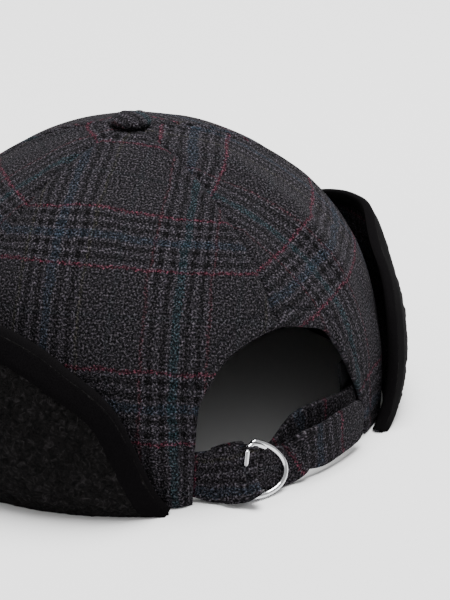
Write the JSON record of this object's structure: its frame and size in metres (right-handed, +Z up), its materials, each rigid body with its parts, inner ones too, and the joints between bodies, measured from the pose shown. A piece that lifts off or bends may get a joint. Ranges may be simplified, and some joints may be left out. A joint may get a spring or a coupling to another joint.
{
  "type": "cap with ear flaps",
  "caption": "Soft wool check cap with turned-up fleece-lined ear flaps, a peak, an arched back opening and a strap with D-rings.",
  "frame": {"origin": "on the table under the middle of the cap's outline", "axes": "+Z up from the table, -Y the way the peak points, +X the wearer's left"},
  "size_m": [0.212, 0.2549, 0.1172],
  "materials": {
    "wool_check": "matt woven twill, charcoal with a teal, blue and red check",
    "fleece_pile": "matt curly pile",
    "binding_tape": "smooth woven tape",
    "sweatband_twill": "matt twill",
    "plated_wire": "bright nickel plate"
  },
  "bodies": {
    "root": {"button": "wool_check", "sweatband": "sweatband_twill", "peak": "wool_check", "flap_shell_left": "wool_check", "flap_shell_right": "wool_check", "flap_fleece_left": "fleece_pile", "flap_fleece_right": "fleece_pile", "flap_binding_left": "binding_tape", "flap_binding_right": "binding_tape", "d_ring_outer": "plated_wire", "d_ring_inner": "plated_wire", "strap_short": "wool_check", "strap_long": "wool_check", "crown_panel_back_left": "wool_check", "crown_panel_side_left": "wool_check", "crown_panel_front": "wool_check", "crown_panel_side_right": "wool_check", "crown_panel_back_right": "wool_check"}
  },
  "joints": []
}
